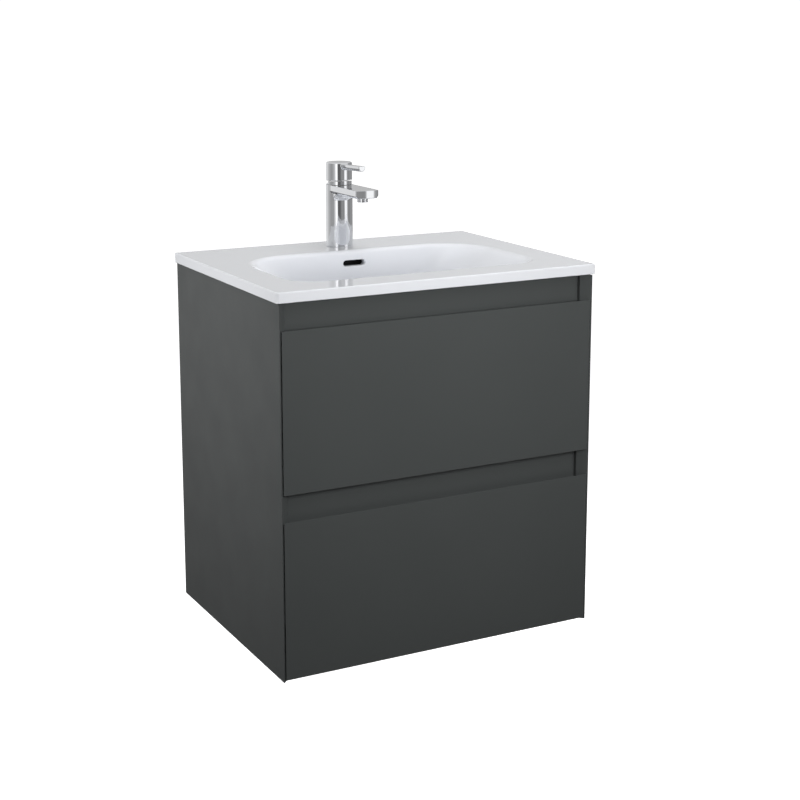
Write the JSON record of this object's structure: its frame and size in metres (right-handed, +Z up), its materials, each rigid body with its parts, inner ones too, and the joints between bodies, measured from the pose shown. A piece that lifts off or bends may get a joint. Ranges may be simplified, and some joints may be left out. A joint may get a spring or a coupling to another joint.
{
  "type": "wall-hung bathroom vanity cabinet",
  "caption": "Wall-hung bathroom vanity with a slab basin, single-lever tap, bottle trap and two handleless drawers on concealed runners.",
  "frame": {"origin": "on the wall plane, at the middle of the carcass's lower edge", "axes": "+X to the right for a person facing the drawers, +Y towards the wall, +Z up"},
  "size_m": [0.606, 0.465, 0.8125],
  "materials": {
    "anthracite_board": "matt anthracite lacquer on board",
    "drawer_board": "melamine-faced board, dark grey",
    "zinc_fitting": "zinc plated",
    "runner_steel": "galvanised, pressed",
    "hanger_plastic": "white moulded",
    "clip_plastic": "grey moulded",
    "cover_plastic": "grey moulded sheet",
    "ceramic": "white gloss glaze",
    "sealant": "cured silicone, pale grey",
    "chrome": "polished chrome plate",
    "brass": "machined",
    "cartridge_plastic": "moulded",
    "rubber_seal": "black rubber",
    "trap_plastic": "white polypropylene"
  },
  "bodies": {
    "cabinet": {"basin": "ceramic", "bottom_panel": "anthracite_board", "cabinet_hangers": "hanger_plastic", "cam_bolts": "zinc_fitting", "cam_locks": "zinc_fitting", "handle_rail_middle": "anthracite_board", "handle_rail_upper": "anthracite_board", "hanger_hooks": "zinc_fitting", "hanger_screws": "zinc_fitting", "lower_runner_tracks": "runner_steel", "rear_rail_lower": "anthracite_board", "rear_rail_upper": "anthracite_board", "runner_screws": "zinc_fitting", "side_panel_left": "anthracite_board", "side_panel_right": "anthracite_board", "silicone_bead": "sealant", "tap_aerator": "chrome", "tap_base_seal": "rubber_seal", "tap_body": "chrome", "tap_cartridge": "cartridge_plastic", "tap_cartridge_nut": "brass", "tap_fixing_nut": "zinc_fitting", "tap_fixing_stud": "zinc_fitting", "tap_fixing_washer": "zinc_fitting", "trap_body": "trap_plastic", "trap_cup": "trap_plastic", "trap_inlet_nut": "trap_plastic", "trap_outlet_nut": "trap_plastic", "trap_outlet_pipe": "trap_plastic", "upper_runner_tracks": "runner_steel", "wall_plates": "zinc_fitting", "waste_body": "chrome", "waste_nut": "brass", "waste_seals": "rubber_seal"},
    "upper_drawer": {"upper_drawer_back_left": "drawer_board", "upper_drawer_back_right": "drawer_board", "upper_drawer_bottom": "drawer_board", "upper_drawer_clips": "clip_plastic", "upper_drawer_front": "anthracite_board", "upper_drawer_side_left": "drawer_board", "upper_drawer_side_right": "drawer_board", "upper_drawer_trap_cover": "cover_plastic", "upper_runner_member_left": "runner_steel", "upper_runner_member_right": "runner_steel"},
    "lower_drawer": {"lower_drawer_back": "drawer_board", "lower_drawer_bottom": "drawer_board", "lower_drawer_clips": "clip_plastic", "lower_drawer_front": "anthracite_board", "lower_drawer_side_left": "drawer_board", "lower_drawer_side_right": "drawer_board", "lower_runner_member_left": "runner_steel", "lower_runner_member_right": "runner_steel"},
    "upper_middles": {"upper_runner_middles": "runner_steel"},
    "lower_middles": {"lower_runner_middles": "runner_steel"},
    "tap_swivel": {"tap_collar": "chrome", "tap_stem_carrier": "cartridge_plastic"},
    "tap_lever": {"tap_lever": "chrome", "tap_stem": "brass", "lever_set_screw": "zinc_fitting"},
    "waste_plug": {"waste_plug": "chrome"}
  },
  "joints": [
    {"name": "upper_drawer_slide", "type": "slide", "parent": "cabinet", "child": "upper_drawer", "axis": [0, -1, 0], "range_m": [0, 0.38]},
    {"name": "lower_drawer_slide", "type": "slide", "parent": "cabinet", "child": "lower_drawer", "axis": [0, -1, 0], "range_m": [0, 0.38]},
    {"name": "upper_middle_slide", "type": "slide", "parent": "cabinet", "child": "upper_middles", "axis": [0, -1, 0], "range_m": [0, 0.19]},
    {"name": "lower_middle_slide", "type": "slide", "parent": "cabinet", "child": "lower_middles", "axis": [0, -1, 0], "range_m": [0, 0.19]},
    {"name": "tap_swivel_turn", "type": "hinge", "parent": "cabinet", "child": "tap_swivel", "pos_m": [0, -0.065, 0.766], "axis": [0, 0, 1], "range_deg": [-45, 45]},
    {"name": "tap_lever_lift", "type": "hinge", "parent": "tap_swivel", "child": "tap_lever", "pos_m": [0, -0.065, 0.766], "axis": [-1, 0, 0], "range_deg": [0, 20]},
    {"name": "waste_plug_lift", "type": "slide", "parent": "cabinet", "child": "waste_plug", "axis": [0, 0, 1], "range_m": [0, 0.009]}
  ],
  "couplings": [
    {"joint": "upper_middle_slide", "follows": "upper_drawer_slide", "ratio": 0.5},
    {"joint": "lower_middle_slide", "follows": "lower_drawer_slide", "ratio": 0.5}
  ]
}
